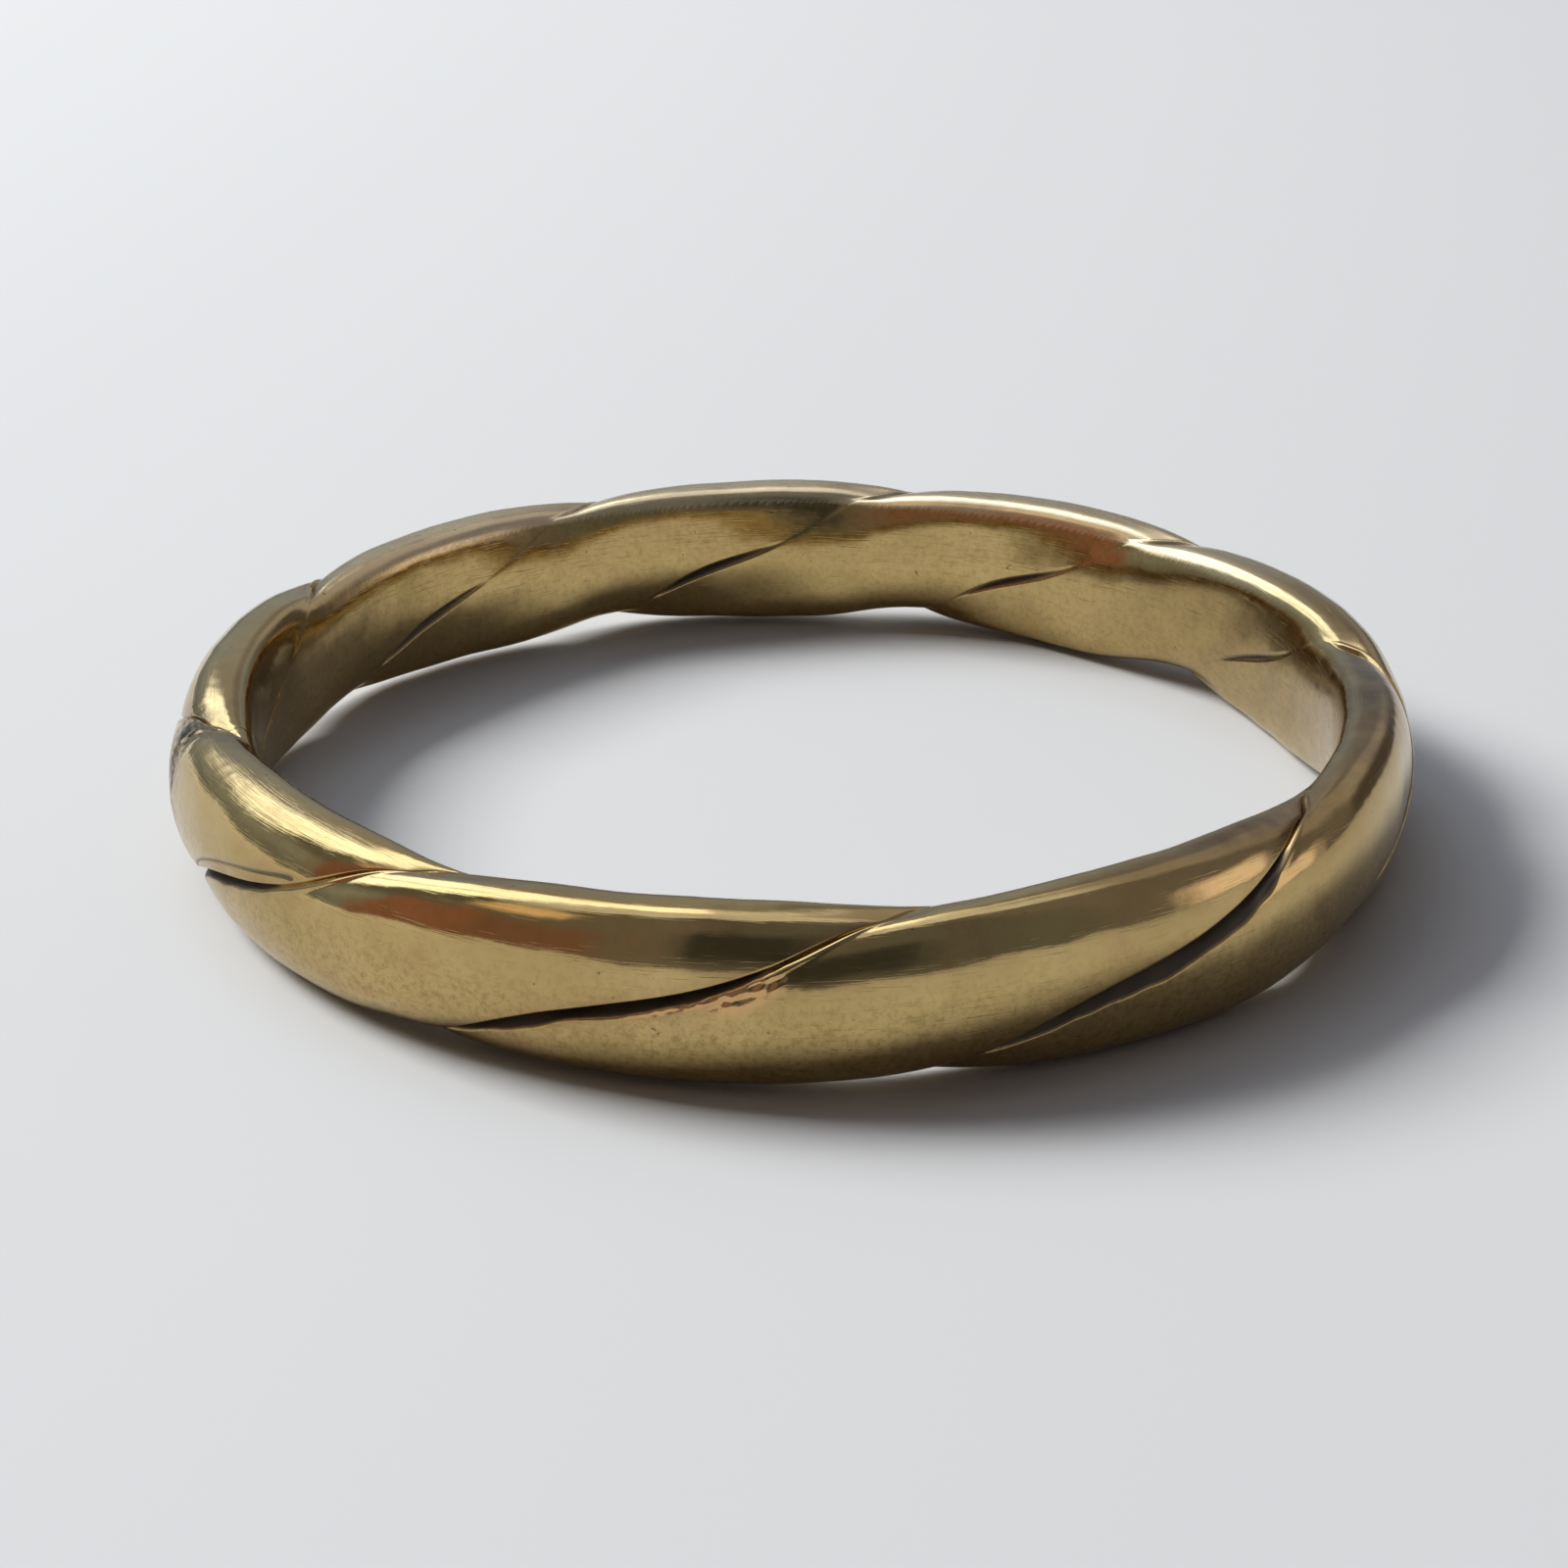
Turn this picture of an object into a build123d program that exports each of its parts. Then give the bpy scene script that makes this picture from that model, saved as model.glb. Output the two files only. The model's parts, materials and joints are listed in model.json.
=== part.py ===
"""Wedding band made of two half-round gold wires twisted together.

The two strands run side by side round the finger hole and change places nine times.
A seam of solder lies between them, and one more solder joint closes the ring.
Millimetres, +Z along the finger, origin under the middle of the band where it rests.
"""

from build123d import *
import math
import os

# Driving dimensions, mm
BORE_RADIUS = 8.65            # finger hole, 17.3 mm across
OUTER_RADIUS = 10.04          # crest of a strand on the outside of the band
BAND_HEIGHT = 2.66            # crest of a strand to crest of the other, along the finger
REST_HEIGHT = 1.40            # middle of the band above the plane it rests on
CORE_RADIUS = 9.33            # middle of the band's section
RAW_INNER_RADIUS = 8.50       # inside of the twisted wires before the bore is turned

# Twist of the two strands
HALF_TWISTS = 9               # odd, so each strand's end meets the other strand's start
SEAM_PHASE = 1.28             # half twists already made at the front of the band
TWIST_WANDER = 0.16           # uneven twisting round the band, half twists
TWIST_DOUBLE_WANDER = 0.035   # the same, twice round
TWIST_EASE = 0.07             # the seam runs flatter across the face than over the edges
CLOSURE_ANGLE = -75.0         # where the ring was closed, degrees from the front

# Unevenness of handwork: shares of the band's size, and the angles where it is largest
HEIGHT_SWING = 0.05
TALL_ANGLE = 66.0
THICKNESS_SWING = 0.08
THICK_ANGLE = -48.0           # and again opposite

# Shape of a strand
OUTSIDE_ROUNDNESS = 2.2       # superellipse powers of the section, outside and inside
INSIDE_ROUNDNESS = 3.0
LOBE_ON_FACE = 0.07           # how far a strand falls from crest to seam on the faces
LOBE_ON_TOP = 0.24            # the same on the band's top edge
LOBE_ON_BOTTOM = 0.37         # on its bottom edge
BOTTOM_LOBE_SWING = 0.22      # and how that differs round the band
DEEP_LOBE_ANGLE = 141.0
LOBE_POWER = 0.7
GROOVE_ON_FACE = 0.32         # depth of the V groove between the strands, outside face
GROOVE_ON_EDGE = 0.05
SLIT_INSIDE = 0.24            # the same inside, measured from the raw wire
GROOVE_WIDTH = 0.14           # half the width of the V groove
SLIT_WIDTH = 0.10

# Solder
SEAM_GAP = 0.08               # from strand to strand
SEAM_THICKNESS = 0.06
SEAM_SETBACK = 0.04           # the seam's solder stops this far below the groove's floor
JOINT_GAP = 0.08              # between the two cut ends of the twisted wires
JOINT_THICKNESS = 0.06

SECTIONS = 90                 # spaces between lofted sections round the band
SECTIONS_PER_LOFT = 10        # the band is lofted in stretches and joined up
DOME_POINTS = 11              # spline points across a strand
TABLE_STEPS = 720             # steps of the outline's length table
SLOPE_TURN = 0.002            # turn to either side of a point where its slope is taken, radians

half_height = BAND_HEIGHT / 2
outer_depth = OUTER_RADIUS - CORE_RADIUS
inner_depth = CORE_RADIUS - RAW_INNER_RADIUS


def outline_point(turn):
    """Point (radius, height) of the band's plain section; turn 0 is the outside middle."""
    across = math.cos(turn)
    along = math.sin(turn)
    if across > 0:
        power, depth = OUTSIDE_ROUNDNESS, outer_depth
    else:
        power, depth = INSIDE_ROUNDNESS, inner_depth
    scale = (abs(across) ** power + abs(along) ** power) ** (-1 / power)
    return CORE_RADIUS + depth * scale * across, half_height * scale * along


def length_table():
    """Length along the outline from the bottom, one value for each step of the turn."""
    lengths = [0.0]
    before = outline_point(-math.pi / 2)
    for step in range(1, TABLE_STEPS + 1):
        here = outline_point(-math.pi / 2 + 2 * math.pi * step / TABLE_STEPS)
        lengths.append(lengths[-1] + math.dist(before, here))
        before = here
    return lengths


LENGTHS = length_table()
PERIMETER = LENGTHS[-1]
FACE_MIDDLE = LENGTHS[TABLE_STEPS // 4] / PERIMETER     # outline share at the outside middle


def turn_at(share):
    """Turn of the outline point that lies at this share of its length."""
    wanted = (share % 1.0) * PERIMETER
    low, high = 0, TABLE_STEPS
    while high - low > 1:
        middle = (low + high) // 2
        if LENGTHS[middle] <= wanted:
            low = middle
        else:
            high = middle
    part = (wanted - LENGTHS[low]) / (LENGTHS[high] - LENGTHS[low])
    return -math.pi / 2 + 2 * math.pi * (low + part) / TABLE_STEPS


def swing(angle, largest_at):
    """1 at one angle of the band, -1 opposite."""
    return math.cos(math.radians(angle - largest_at))


def lobe_fall(angle, turn):
    """How far a strand's surface falls between its crest and the seam."""
    top = (1 + math.sin(turn)) / 2
    bottom_lobe = LOBE_ON_BOTTOM + BOTTOM_LOBE_SWING * swing(angle, DEEP_LOBE_ANGLE)
    on_edge = LOBE_ON_TOP * top + bottom_lobe * (1 - top)
    return LOBE_ON_FACE + (on_edge - LOBE_ON_FACE) * math.sin(turn) ** 2


def groove_depth(turn):
    """Depth of the groove between the strands where it meets the outline."""
    face = math.cos(turn) ** 2
    middle = GROOVE_ON_FACE if math.cos(turn) > 0 else SLIT_INSIDE
    return GROOVE_ON_EDGE + (middle - GROOVE_ON_EDGE) * face


def groove_half_width(turn):
    """Half the width of the groove at the surface."""
    if math.cos(turn) > 0:
        return GROOVE_WIDTH
    return SLIT_WIDTH + (GROOVE_WIDTH - SLIT_WIDTH) * math.sin(turn) ** 2


def sunk_point(share, depth):
    """Outline point at this share, moved into the section by the depth."""
    turn = turn_at(share)
    here = outline_point(turn)
    ahead = outline_point(turn + SLOPE_TURN)
    behind = outline_point(turn - SLOPE_TURN)
    slope = (ahead[0] - behind[0], ahead[1] - behind[1])
    size = math.hypot(*slope)
    return here[0] - depth * slope[1] / size, here[1] + depth * slope[0] / size


def seam_share(angle, side):
    """Outline share of the seam at an angle round the band; side 0 or 1 is the strand it starts."""
    even = SEAM_PHASE + angle * HALF_TWISTS / 360
    even -= TWIST_WANDER * math.sin(math.radians(angle))
    even += TWIST_DOUBLE_WANDER * math.cos(math.radians(2 * angle))
    made = even - TWIST_EASE * math.sin(2 * math.pi * even)
    return FACE_MIDDLE + made / 2 + side / 2


def seam_root(angle, side):
    """Floor of the groove at one seam."""
    share = seam_share(angle, side)
    turn = turn_at(share)
    return sunk_point(share, lobe_fall(angle, turn) + groove_depth(turn))


def shifted(point, toward, distance):
    return point[0] + toward[0] * distance, point[1] + toward[1] * distance


def unit(first, second):
    size = math.dist(first, second)
    return (second[0] - first[0]) / size, (second[1] - first[1]) / size


def dome_points(angle, side):
    """Points over a strand's outer surface, from lip to lip."""
    start = seam_share(angle, side)
    first_trim = groove_half_width(turn_at(start)) / PERIMETER
    last_trim = groove_half_width(turn_at(start + 0.5)) / PERIMETER
    points = []
    for number in range(DOME_POINTS):
        along = number / (DOME_POINTS - 1)
        share = start + first_trim + along * (0.5 - first_trim - last_trim)
        hump = math.sin(2 * math.pi * (share - start)) ** LOBE_POWER
        points.append(sunk_point(share, lobe_fall(angle, turn_at(share)) * (1 - hump)))
    return points


def placed(point, angle):
    """Put a (radius, height) point of the section in the half-plane at this angle from the front."""
    radius, height = point
    radius += THICKNESS_SWING * math.cos(math.radians(2 * (angle - THICK_ANGLE))) * (radius - BORE_RADIUS)
    height += HEIGHT_SWING * swing(angle, TALL_ANGLE) * height
    turn = math.radians(angle)
    return Vector(radius * math.sin(turn), -radius * math.cos(turn), height + REST_HEIGHT)


def strand_section(angle, side):
    """Closed outline of one strand at an angle round the band."""
    first = seam_root(angle, side)
    second = seam_root(angle, side + 1)
    along = unit(first, second)
    outward = (along[1], -along[0])
    dome = dome_points(angle, side)
    middle = dome[DOME_POINTS // 2]
    if (middle[0] - first[0]) * outward[0] + (middle[1] - first[1]) * outward[1] < 0:
        outward = (-outward[0], -outward[1])
    first = shifted(first, outward, SEAM_GAP / 2)
    second = shifted(second, outward, SEAM_GAP / 2)
    lips = [placed(point, angle) for point in dome]
    first = placed(first, angle)
    second = placed(second, angle)
    return Wire(
        [
            Edge.make_line(first, lips[0]),
            Edge.make_spline(lips),
            Edge.make_line(lips[-1], second),
            Edge.make_line(second, first),
        ]
    )


def seam_section(angle):
    """Thin rectangle between the strands, from one groove to the other."""
    first = seam_root(angle, 0)
    second = seam_root(angle, 1)
    along = unit(first, second)
    outward = (along[1], -along[0])
    first = shifted(first, along, SEAM_SETBACK)
    second = shifted(second, along, -SEAM_SETBACK)
    half = SEAM_THICKNESS / 2
    corners = [
        shifted(first, outward, half),
        shifted(second, outward, half),
        shifted(second, outward, -half),
        shifted(first, outward, -half),
    ]
    return Wire.make_polygon([placed(corner, angle) for corner in corners], close=True)


def section_angles():
    """Angles of the lofted sections, from one side of the closure round to the other."""
    trim = math.degrees(JOINT_GAP / 2 / CORE_RADIUS)
    start = CLOSURE_ANGLE + trim
    sweep = 360 - 2 * trim
    return [start + sweep * step / SECTIONS for step in range(SECTIONS + 1)]


def lofted(sections):
    """Solid through all the sections, made of shorter lofts that share their end sections."""
    stretches = []
    for first in range(0, SECTIONS, SECTIONS_PER_LOFT):
        stretches.append(Solid.make_loft(sections[first : first + SECTIONS_PER_LOFT + 1]))
    return stretches[0].fuse(*stretches[1:])


def bore():
    """The finger hole, longer than the band is high."""
    return Pos(0, 0, REST_HEIGHT) * Cylinder(BORE_RADIUS, 3 * BAND_HEIGHT)


def strand(side):
    """One twisted wire, turned out to the bore."""
    return lofted([strand_section(angle, side) for angle in section_angles()]) - bore()


def seam_solder():
    """Strip of solder that holds the strands side by side."""
    return lofted([seam_section(angle) for angle in section_angles()])


def closure_solder():
    """Thin plate of solder between the cut ends of the twisted wires."""
    first = dome_points(CLOSURE_ANGLE, 0)
    second = dome_points(CLOSURE_ANGLE, 1)
    if math.dist(first[-1], second[0]) > math.dist(first[0], second[0]):
        second.reverse()
    outline = [placed(point, CLOSURE_ANGLE) for point in first]
    opposite = [placed(point, CLOSURE_ANGLE) for point in second]
    roots = [placed(seam_root(CLOSURE_ANGLE, side), CLOSURE_ANGLE) for side in (1, 0)]
    plate = Face(
        Wire(
            [
                Edge.make_spline(outline),
                Edge.make_line(outline[-1], roots[0]),
                Edge.make_line(roots[0], opposite[0]),
                Edge.make_spline(opposite),
                Edge.make_line(opposite[-1], roots[1]),
                Edge.make_line(roots[1], outline[0]),
            ]
        )
    )
    turn = math.radians(CLOSURE_ANGLE)
    across = Vector(math.cos(turn), math.sin(turn), 0)
    return extrude(plate, JOINT_THICKNESS / 2, dir=across, both=True) - bore()


def main():
    os.makedirs("parts", exist_ok=True)
    pieces = {
        "strand_a": strand(0),
        "strand_b": strand(1),
        "seam_solder": seam_solder(),
        "closure_solder": closure_solder(),
    }
    for name, piece in pieces.items():
        export_step(piece, f"parts/{name}.step")


main()
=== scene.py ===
"""Looks of the twisted wedding band: two worn gold strands, their solder, a stage and a camera.

Everything is in metres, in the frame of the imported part. Angles round the band are in degrees
from the front (-Y) towards +X. A place on the band's section is a share of its outline, which
starts at the bottom and runs over the outside, the top and the inside, or a turn: the direction
from the section's middle, 0 outwards, 90 degrees up and 180 inwards.
"""

import json
import math

import bpy
import numpy as np
from mathutils import Matrix, Vector


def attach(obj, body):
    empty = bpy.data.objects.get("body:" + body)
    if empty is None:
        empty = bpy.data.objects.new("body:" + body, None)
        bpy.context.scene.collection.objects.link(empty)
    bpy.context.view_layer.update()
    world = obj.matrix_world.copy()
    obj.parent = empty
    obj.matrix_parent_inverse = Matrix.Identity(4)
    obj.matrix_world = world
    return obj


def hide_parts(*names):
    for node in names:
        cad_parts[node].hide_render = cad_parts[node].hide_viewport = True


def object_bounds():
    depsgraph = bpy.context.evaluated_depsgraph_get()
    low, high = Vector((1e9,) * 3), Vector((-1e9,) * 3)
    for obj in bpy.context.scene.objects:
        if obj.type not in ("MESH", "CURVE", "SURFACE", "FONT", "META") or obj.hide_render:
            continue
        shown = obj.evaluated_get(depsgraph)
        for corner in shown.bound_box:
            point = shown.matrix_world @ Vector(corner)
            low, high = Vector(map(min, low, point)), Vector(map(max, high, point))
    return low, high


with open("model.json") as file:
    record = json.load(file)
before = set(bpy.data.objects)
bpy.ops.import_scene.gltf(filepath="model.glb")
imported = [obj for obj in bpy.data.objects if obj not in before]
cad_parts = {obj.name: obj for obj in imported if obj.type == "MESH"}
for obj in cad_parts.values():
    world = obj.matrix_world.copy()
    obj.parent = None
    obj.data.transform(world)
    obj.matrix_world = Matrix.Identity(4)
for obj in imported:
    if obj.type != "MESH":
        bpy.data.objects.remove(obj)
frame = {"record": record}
cad_low, cad_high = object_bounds()

MM = 0.001

# Sizes that come from the frame
HOLE = frame["record"]["mounts"][0]
BORE_RADIUS = HOLE["dims"]["r_mm"] * MM
BAND_MIDDLE = HOLE["pos_m"][2]    # height of the band's middle plane

# Section of the band
OUTER_RADIUS = 10.04 * MM
BAND_HEIGHT = 2.66 * MM
CORE_RADIUS = 9.33 * MM
SKIN = 0.029 * MM                 # mean depth of the uneven surface under the plain outline
LEAST_SKIN = 0.002 * MM           # its highest bumps stay this far under the outline
OUTSIDE_ROUNDNESS = 2.2
INSIDE_ROUNDNESS = 4.0
OUTER_DEPTH = OUTER_RADIUS - CORE_RADIUS
INNER_DEPTH = CORE_RADIUS - BORE_RADIUS
HALF_HEIGHT = BAND_HEIGHT / 2
TABLE_STEPS = 2880

# Twist
HALF_TWISTS = 9
SEAM_PHASE = 1.28
TWIST_WANDER = 0.16
TWIST_DOUBLE_WANDER = 0.035
TWIST_EASE = 0.07
CLOSURE_ANGLE = -75.0

# Unevenness of handwork: shares of the band's size, and the angles where it is largest
HEIGHT_SWING = 0.05
TALL_ANGLE = 66.0
THICKNESS_SWING = 0.08
THICK_ANGLE = -48.0

# Fall of a strand from its crest to the seam
LOBE_ON_FACE = 0.06 * MM
LOBE_ON_TOP = 0.24 * MM
LOBE_ON_BOTTOM = 0.37 * MM
BOTTOM_LOBE_SWING = 0.22 * MM
DEEP_LOBE_ANGLE = 141.0
LOBE_INSIDE = 0.01 * MM
LOBE_POWER = 0.7                  # of the sine that shapes it; a low one keeps the crest broad
INSIDE_LOBE_POWER = 2
INSIDE_LOBE_FADE = (0.3, 0.9)     # inward part of the turn where one gives way to the other

# Seams: depths and widths of the outside groove, the inside slit and a shut crease
GROOVE_DEPTH = 0.22 * MM
GROOVE_ABOVE = 0.085 * MM         # width on the upper strand, a steep wall
GROOVE_BELOW = 0.13 * MM          # width on the lower strand, a gentle shoulder
RAGGED_SHARE = 0.22               # of that shoulder's width
WIDE_GROOVE_ANGLE = 38.0
WIDE_GROOVE_GAIN = 0.65           # how much wider it is there
WIDE_GROOVE_POWER = 6             # how fast it narrows round the band
SLIT_DEPTH = 0.11 * MM
SLIT_WIDTH = 0.11 * MM
SLIT_ANGLE = 228.0                # where the slits of the inside are most open
CREASE_DEPTH = 0.035 * MM
CREASE_WIDTH = 0.05 * MM
INSIDE_CREASE_LOSS = 0.97         # the finger hole is worn smooth
INSIDE_CREASE_FADE = (0.1, 0.75)  # inward part of the turn
LOWER_CREASE_LOSS = 0.8           # and so is the lower part of the outside face
LOWER_CREASE_FADE = (0.35, 0.7)   # downward part of the turn
ROUNDING_ABOVE = 0.30             # of the lips, in shares of the opening's width
ROUNDING_BELOW = 0.22
SEAM_GAP = 0.024 * MM
SHUT_SHARE = 0.85                 # how far the gap closes at the lips
SHUT_REACH = 0.05 * MM

# Where the seams are open: turns and reaches in degrees
GROOVE_LEAN = -14.0               # middle of the open groove
WIDE_GROOVE_LEAN = 22.0           # how much higher it is where the groove is widest
FLAP_GROOVE_DROP = 10.0           # and how much lower under the folded edge
FLAP_GROOVE_REACH = 18.0
GROOVE_REACH = 41.0               # from its middle to where the groove is shut
WIDE_GROOVE_REACH = 2.0
GROOVE_PLATEAU = 1.12             # over 1: the groove stays fully open for a while
SLIT_START = 156.0                # turns where the narrowest slits start and stop
SLIT_STOP = 186.0
SLIT_START_SHIFT = 18.0           # how much further round the widest ones do
SLIT_STOP_SHIFT = 26.0
SLIT_OUTER_FADE = 0.1             # radians
SLIT_INNER_FADE = 0.3
LEAST_SLIT = 0.35                 # opening of the narrowest slits

# Kinds of bumps: seed, number of waves, and the least and most waves in a millimetre
RAGGED_BUMPS = (31, 12, 0.5, 2.2)
BURR_BUMPS = (41, 36, 4.0, 7.5)
COARSE_BUMPS = (43, 24, 1.0, 2.2)
SOLDER_BUMPS = (21, 8, 0.5, 2.0)

# Bumps over the whole band: height in mm and kind
SKIN_BUMPS = (
    (0.010, (3, 14, 0.10, 0.45)),
    (0.0040, (8, 22, 0.5, 1.2)),
    (0.0006, (12, 30, 1.8, 3.2)),
)

# Bumps in one area: height in mm, the area's middle angle and turn with its half sizes in
# degrees, how many times the bumps are stretched across the strand, and their kind
LOCAL_BUMPS = (
    (0.0055, (-27, 42, 15, 26), 1, (53, 18, 0.45, 0.95)),    # wavy top, left of the front
    (0.0009, (-58, 66, 9.0, 34), 5, (47, 30, 3.0, 6.0)),     # brushed ridge on the left
    (0.0060, (72, 55, 14.0, 40), 1, (59, 16, 0.5, 1.0)),     # dented top on the right
)

# Torn solder on a lip at the front. Its areas have a distance from the seam in mm as the place.
TORN_PATCH = (-3.8, 0.24, 3.0, 0.22)
TORN_EDGE = (-9.0, 0.15, 5.5, 0.05)
TORN_EDGE_SHARE = 0.8
TORN_BURR = 0.021                 # heights in mm
TORN_COARSE = 0.008
FACE_HALF = 60                    # degrees of turn on the outside face, up or down

# Lumpy joint where the wires' ends meet, heights in mm
CLOSING_AREA = (CLOSURE_ANGLE - 2, 48, 4.5, 48)
CLOSING_COARSE = 0.014
CLOSING_BURR = 0.012
CLOSING_SINK = 0.012

# Folded edge over the groove on the left, sizes in mm
FLAP_ANGLE = -57.0
FLAP_HALF_ANGLE = 10
FLAP_INSET = 0.085                # of its line from the seam, at both ends
FLAP_BULGE = 0.18                 # and how much further in the middle
FLAP_LINE_DEPTH = 0.020
FLAP_LINE_WIDTH = 0.028
FLAP_DIRT_AND_SHADE = 0.13                  # groove value along the line, which darkens it with dirt and painted shade

# Burnished ridge along the lower strand's lip, sizes in mm and turns in degrees
LIP_RIDGE_HEIGHT = 0.026
LIP_RIDGE_PLACE = 0.085
LIP_RIDGE_WIDTH = 0.042
LIP_RIDGE_RISE = (10, 40)
LIP_RIDGE_END = (100, 130)

# Where the metal is worn, bright or dirty, with dirt and painted shade in the slits and a
# painted highlight on the top at the back: areas as for the local bumps, other turns in radians
SLIT_DIRT_AND_SHADE = 0.4                   # groove value of an open slit, which darkens it with dirt and painted shade
RIDGE_AREA = (-58, 76, 13, 28)
STAIN_AREAS = (                   # with their strengths
    (1, (84, 96, 19, 46)),        # top on the right
    (1, (47, 96, 13, 30)),        # top, right of the front
    (0.45, (112, 184, 26, 40)),   # finger hole on the right, made darker there
)
POLISHED_SHARE = 0.85             # how much less satin the top is than the faces
POLISHED_RISE = (math.radians(-15), math.radians(35))
POLISHED_STOP = math.radians(135)
INSIDE_POLISH = 0.35              # how much less satin the finger hole is
INSIDE_FROM = -0.2                # outward part of the turn where the inside begins
DULL_AND_HIGHLIGHT_RISE = (0.15, 0.8)           # backward part of the angle, where the top is rougher and painted lighter as a painted highlight
DULL_AND_HIGHLIGHT_TURNS = (0.6, 2.4)
BRIGHT_LIP_REACH = 0.14 * MM
BRIGHT_LIP_RISE = (0.1, 0.6)
BRIGHT_LIP_STOP = 2.0
BRIGHT_LIP_SHARE = 0.95           # how much tarnish is rubbed off it
TARNISH_REACH = 0.22 * MM
TARNISH_FADE = (0.0, 0.6)         # inward part of the turn

# Meshes
STATIONS = 1180
LIP_WIDTH = 0.30 * MM
LIP_POINTS = 17
LIP_GRADING = 1.2                 # over 1: points are closest at the seam
DOME_POINTS = 43
WALL_POINTS = 3
WALL_VALUES = {"groove": 1.0, "satin": 1.0, "seam": 1.0}    # the rest are 0 on the walls; the groove value darkens the walls with dirt and painted shade
STRAND_TRIM = 0.031 * MM          # from the middle of the closure to a strand's end
SOLDER_TRIM = 0.04 * MM
SOLDER_HALF = 0.4 * SEAM_GAP
SOLDER_INSET = 0.10 * MM          # from the surface to the solder's edge
SOLDER_LUMPS = 0.02 * MM
SOLDER_POINTS = 5
CLOSURE_HALF = 0.03 * MM
CLOSURE_STATIONS = 5
CLOSURE_SATIN = 0.5


def outline(turn):
    """Radius and height of the plain section, with its outward normal."""
    across, along = np.cos(turn), np.sin(turn)
    outside = across > 0
    power = np.where(outside, OUTSIDE_ROUNDNESS, INSIDE_ROUNDNESS)
    depth = np.where(outside, OUTER_DEPTH, INNER_DEPTH)
    scale = (np.abs(across) ** power + np.abs(along) ** power) ** (-1 / power)
    x, z = scale * across, scale * along
    normal_r = np.sign(x) * np.abs(x) ** (power - 1) / depth
    normal_z = np.sign(z) * np.abs(z) ** (power - 1) / HALF_HEIGHT
    size = np.hypot(normal_r, normal_z)
    return CORE_RADIUS + depth * x, HALF_HEIGHT * z, normal_r / size, normal_z / size


TURNS = np.linspace(-np.pi / 2, 1.5 * np.pi, TABLE_STEPS + 1)
_radii, _heights, _, _ = outline(TURNS)
LENGTHS = np.concatenate([[0.0], np.cumsum(np.hypot(np.diff(_radii), np.diff(_heights)))])
PERIMETER = LENGTHS[-1]
FACE_MIDDLE = LENGTHS[TABLE_STEPS // 4] / PERIMETER


def turn_at(share):
    """Turn in radians of a share of the outline."""
    return np.interp((share % 1.0) * PERIMETER, LENGTHS, TURNS)


def seam_share(angle):
    """Outline share of the seam where strand_a starts."""
    even = SEAM_PHASE + angle * HALF_TWISTS / 360 - TWIST_WANDER * np.sin(np.radians(angle))
    even = even + TWIST_DOUBLE_WANDER * np.cos(np.radians(2 * angle))
    made = even - TWIST_EASE * np.sin(2 * np.pi * even)
    return FACE_MIDDLE + made / 2


def bumps(angle, share, seed, waves, lowest, highest):
    """Smooth unevenness over the whole band, about -1 to 1; it closes round the ring."""
    rng = np.random.default_rng(seed)
    total = np.zeros(np.broadcast(angle, share).shape)
    for _ in range(waves):
        size = rng.uniform(lowest, highest)
        way = rng.uniform(0, 2 * np.pi)
        round_ring = round(size * math.cos(way) * 2 * np.pi * CORE_RADIUS / MM)
        round_wire = round(size * math.sin(way) * PERIMETER / MM)
        phase = rng.uniform(0, 2 * np.pi)
        place = np.radians(angle) * round_ring + 2 * np.pi * share * round_wire
        total = total + np.sin(place + phase)
    return total / math.sqrt(waves)


def swing(angle, largest_at):
    """1 at one angle of the band, -1 opposite."""
    return np.cos(np.radians(angle - largest_at))


def spot(angle, place, middle_angle, middle_place, half_angle, half_place):
    """1 in the middle of a soft oval area of the band, 0 well outside it."""
    off = (angle - middle_angle + 180) % 360 - 180
    return np.exp(-((off / half_angle) ** 2) - ((place - middle_place) / half_place) ** 2)


def peak(value, middle, half):
    """1 at one value, soft on both sides, 0 well away from it."""
    return np.exp(-(((value - middle) / half) ** 2))


def smooth(value, low, high):
    """0 below low, 1 above high, smooth between."""
    part = np.clip((value - low) / (high - low), 0, 1)
    return part * part * (3 - 2 * part)


def wide_place(angle):
    """1 where the outside groove is torn widest, 0 away from there."""
    return np.clip(swing(angle, WIDE_GROOVE_ANGLE), 0, 1) ** WIDE_GROOVE_POWER


def opening(angle, turn):
    """How open the seam is here: outside groove and inside slit, each 0 to 1."""
    wide = wide_place(angle)
    under_flap = spot(angle, 0, FLAP_ANGLE, 0, FLAP_GROOVE_REACH, 1)
    lean = GROOVE_LEAN + WIDE_GROOVE_LEAN * wide - FLAP_GROOVE_DROP * under_flap
    reach = np.radians(GROOVE_REACH + WIDE_GROOVE_REACH * wide)
    off = np.clip((turn - np.radians(lean)) / reach, -1, 1)
    outside = np.clip(GROOVE_PLATEAU * np.cos(np.pi / 2 * off), 0, 1)
    open_part = 0.5 + 0.5 * swing(angle, SLIT_ANGLE)
    start = np.radians(SLIT_START + SLIT_START_SHIFT * open_part)
    stop = np.radians(SLIT_STOP + SLIT_STOP_SHIFT * open_part)
    inside = smooth(turn, start - SLIT_OUTER_FADE, start + SLIT_INNER_FADE)
    inside = inside * (1 - smooth(turn, stop - SLIT_INNER_FADE, stop + SLIT_OUTER_FADE))
    return outside, inside * (LEAST_SLIT + (1 - LEAST_SLIT) * open_part)


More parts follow.
